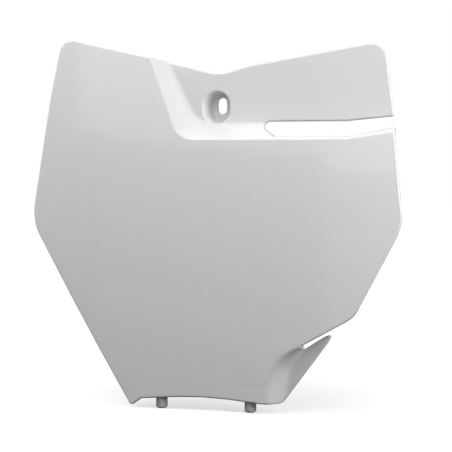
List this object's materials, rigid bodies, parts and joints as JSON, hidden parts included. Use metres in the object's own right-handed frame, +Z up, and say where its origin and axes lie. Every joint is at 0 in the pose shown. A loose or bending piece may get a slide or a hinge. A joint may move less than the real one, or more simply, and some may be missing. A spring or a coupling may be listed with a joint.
{
  "type": "racing number board",
  "caption": "Off-road motorcycle front number board: thin curved plastic plate with a recessed bolt cup, a side slot and slit for the brake hose, and pegs at its foot.",
  "frame": {"origin": "middle of the bolt slot, on the rear seat that meets the bracket", "axes": "+Z up along the pegs, +Y towards the rider along the bolt, +X to the right as seen from the front"},
  "size_m": [0.2569, 0.0442, 0.2493],
  "materials": {
    "board_plastic": "gloss moulded white"
  },
  "bodies": {
    "root": {"number_board": "board_plastic"}
  },
  "joints": []
}
